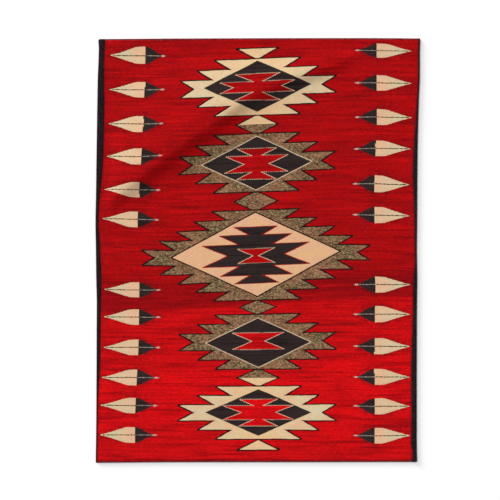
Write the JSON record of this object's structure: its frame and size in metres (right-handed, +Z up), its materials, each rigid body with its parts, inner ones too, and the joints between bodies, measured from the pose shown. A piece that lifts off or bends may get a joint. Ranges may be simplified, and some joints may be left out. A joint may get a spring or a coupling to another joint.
{
  "type": "navajo rug",
  "caption": "Flat tapestry-woven wool rug, red with a column of serrated diamonds between feather rows, black side bindings, thin end cords and one soft diagonal ridge.",
  "frame": {"origin": "centre of the rug's footprint, on the floor", "axes": "+X across the rug, +Y along its length, +Z up from the floor"},
  "size_m": [1.231, 1.61, 0.0172],
  "materials": {
    "woven_wool": "weft-faced wool tapestry, matt",
    "binding_wool": "black wool, matt",
    "cord_wool": "plied dark maroon wool, matt"
  },
  "bodies": {
    "root": {"woven_field": "woven_wool", "left_side_binding": "binding_wool", "right_side_binding": "binding_wool", "top_end_cord": "cord_wool", "bottom_end_cord": "cord_wool"}
  },
  "joints": []
}
